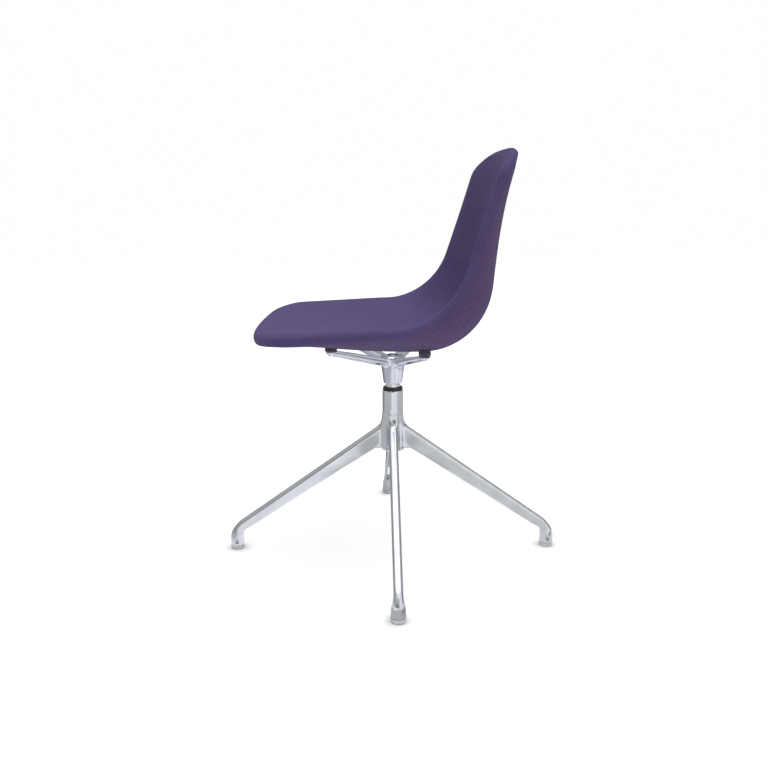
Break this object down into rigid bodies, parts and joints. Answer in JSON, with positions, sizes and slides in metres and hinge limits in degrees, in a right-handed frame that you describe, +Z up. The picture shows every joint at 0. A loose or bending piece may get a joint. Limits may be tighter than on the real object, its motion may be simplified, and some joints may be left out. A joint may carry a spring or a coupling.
{
  "type": "upholstered swivel chair",
  "caption": "Upholstered one-piece shell chair whose dished seat flows into the back, on a cast spider that swivels on a four-star pedestal base with round feet.",
  "frame": {"origin": "on the floor under the swivel axis", "axes": "+Z up along the swivel axis, -Y the way the sitter faces, +X the sitter's left; the legs lie along X and Y"},
  "size_m": [0.6668, 0.6668, 0.7988],
  "materials": {
    "polished_aluminium": "polished",
    "bright_steel": "ground bright",
    "zinc_plated_steel": "zinc plated",
    "brass": "turned",
    "black_nylon": "moulded, glossy",
    "dark_violet_nylon": "moulded, satin",
    "grey_glide_plastic": "moulded, satin",
    "black_polypropylene": "moulded, fine texture",
    "cold_cure_foam": "open-cell foam",
    "violet_fabric": "woven wool",
    "violet_back_fabric": "woven wool on a thin foam"
  },
  "bodies": {
    "base": {"base_casting": "polished_aluminium", "foot_glide_left": "grey_glide_plastic", "foot_glide_rear": "grey_glide_plastic", "foot_glide_right": "grey_glide_plastic", "foot_glide_front": "grey_glide_plastic", "glide_pin_left": "bright_steel", "glide_pin_rear": "bright_steel", "glide_pin_right": "bright_steel", "glide_pin_front": "bright_steel", "upper_bush": "black_nylon", "lower_bush": "black_nylon", "thrust_washer": "zinc_plated_steel", "column_plug": "black_nylon"},
    "seat": {"retaining_ring": "zinc_plated_steel", "spindle": "bright_steel", "spindle_washer": "zinc_plated_steel", "spindle_screw": "zinc_plated_steel", "seat_spider": "polished_aluminium", "seat_shell": "black_polypropylene", "foam_pad": "cold_cure_foam", "cover_front": "violet_fabric", "cover_back": "violet_back_fabric", "spacer_front_left": "dark_violet_nylon", "spacer_front_right": "dark_violet_nylon", "spacer_rear_left": "dark_violet_nylon", "spacer_rear_right": "dark_violet_nylon", "threaded_insert_front_left": "brass", "threaded_insert_front_right": "brass", "threaded_insert_rear_left": "brass", "threaded_insert_rear_right": "brass", "screw_washer_front_left": "zinc_plated_steel", "screw_washer_front_right": "zinc_plated_steel", "screw_washer_rear_left": "zinc_plated_steel", "screw_washer_rear_right": "zinc_plated_steel", "seat_screw_front_left": "zinc_plated_steel", "seat_screw_front_right": "zinc_plated_steel", "seat_screw_rear_left": "zinc_plated_steel", "seat_screw_rear_right": "zinc_plated_steel"}
  },
  "joints": [
    {"name": "seat_swivel", "type": "hinge", "parent": "base", "child": "seat", "pos_m": [0, 0, 0.34], "axis": [0, 0, 1], "continuous": true}
  ]
}
